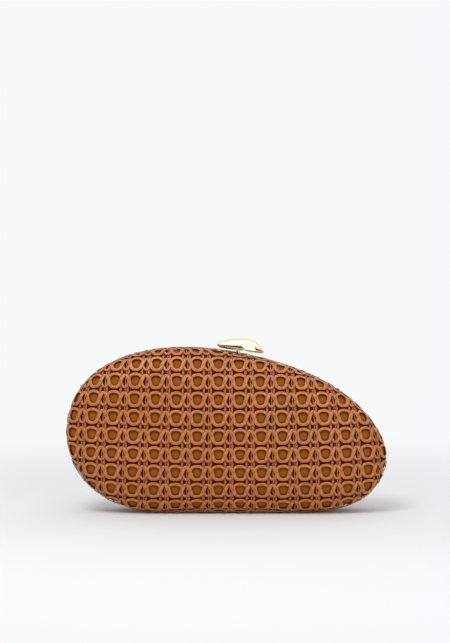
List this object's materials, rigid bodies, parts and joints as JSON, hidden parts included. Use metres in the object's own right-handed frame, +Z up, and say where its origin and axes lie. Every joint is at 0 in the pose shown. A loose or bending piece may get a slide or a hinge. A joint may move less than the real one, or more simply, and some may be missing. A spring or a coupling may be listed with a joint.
{
  "type": "box clutch bag",
  "caption": "Egg-shaped rigid box clutch covered in woven cane webbing, hinged along its flat base, with a polished gold pebble press clasp on top",
  "frame": {"origin": "on the floor under the middle of the closed bag, on the plane where the halves meet", "axes": "+Z up, front faces -Y, +X to the right seen from the front"},
  "size_m": [0.1993, 0.052, 0.1081],
  "materials": {
    "cane": "satin tan strands",
    "backing": "golden brown cloth",
    "shell": "moulded brown",
    "lining": "soft tan",
    "gilt_frame": "satin pale gold plate",
    "gilt_polished": "polished pale gold plate",
    "steel": "plated steel"
  },
  "bodies": {
    "back_half": {"back_weave": "cane", "back_backing": "backing", "back_shell": "shell", "back_lining": "lining", "back_frame": "gilt_frame", "hinge_leaf_back": "gilt_frame", "hinge_pin": "steel", "leaf_rivets_back": "gilt_frame", "latch_housing": "steel", "housing_rivets": "gilt_frame", "clasp_bushing": "gilt_frame", "clasp_spring": "steel"},
    "front_half": {"front_weave": "cane", "front_backing": "backing", "front_shell": "shell", "front_lining": "lining", "front_frame": "gilt_frame", "hinge_leaf_front": "gilt_frame", "leaf_rivets_front": "gilt_frame", "striker_tongue": "gilt_frame", "striker_rivets": "gilt_frame"},
    "clasp": {"clasp_plate": "gilt_polished", "clasp_pebble": "gilt_polished", "clasp_stem": "steel", "stem_clip": "steel", "latch_stirrup": "steel", "stem_nut": "steel"}
  },
  "joints": [
    {"name": "bag_opening", "type": "hinge", "parent": "back_half", "child": "front_half", "pos_m": [0, 0, 0.0024], "axis": [1, 0, 0], "range_deg": [0, 60]},
    {"name": "clasp_press", "type": "slide", "parent": "back_half", "child": "clasp", "axis": [0, 0, -1], "range_m": [0, 0.001], "stiffness_N_per_m": 400, "springref_m": -0.002, "deforming": ["clasp_spring"]}
  ]
}
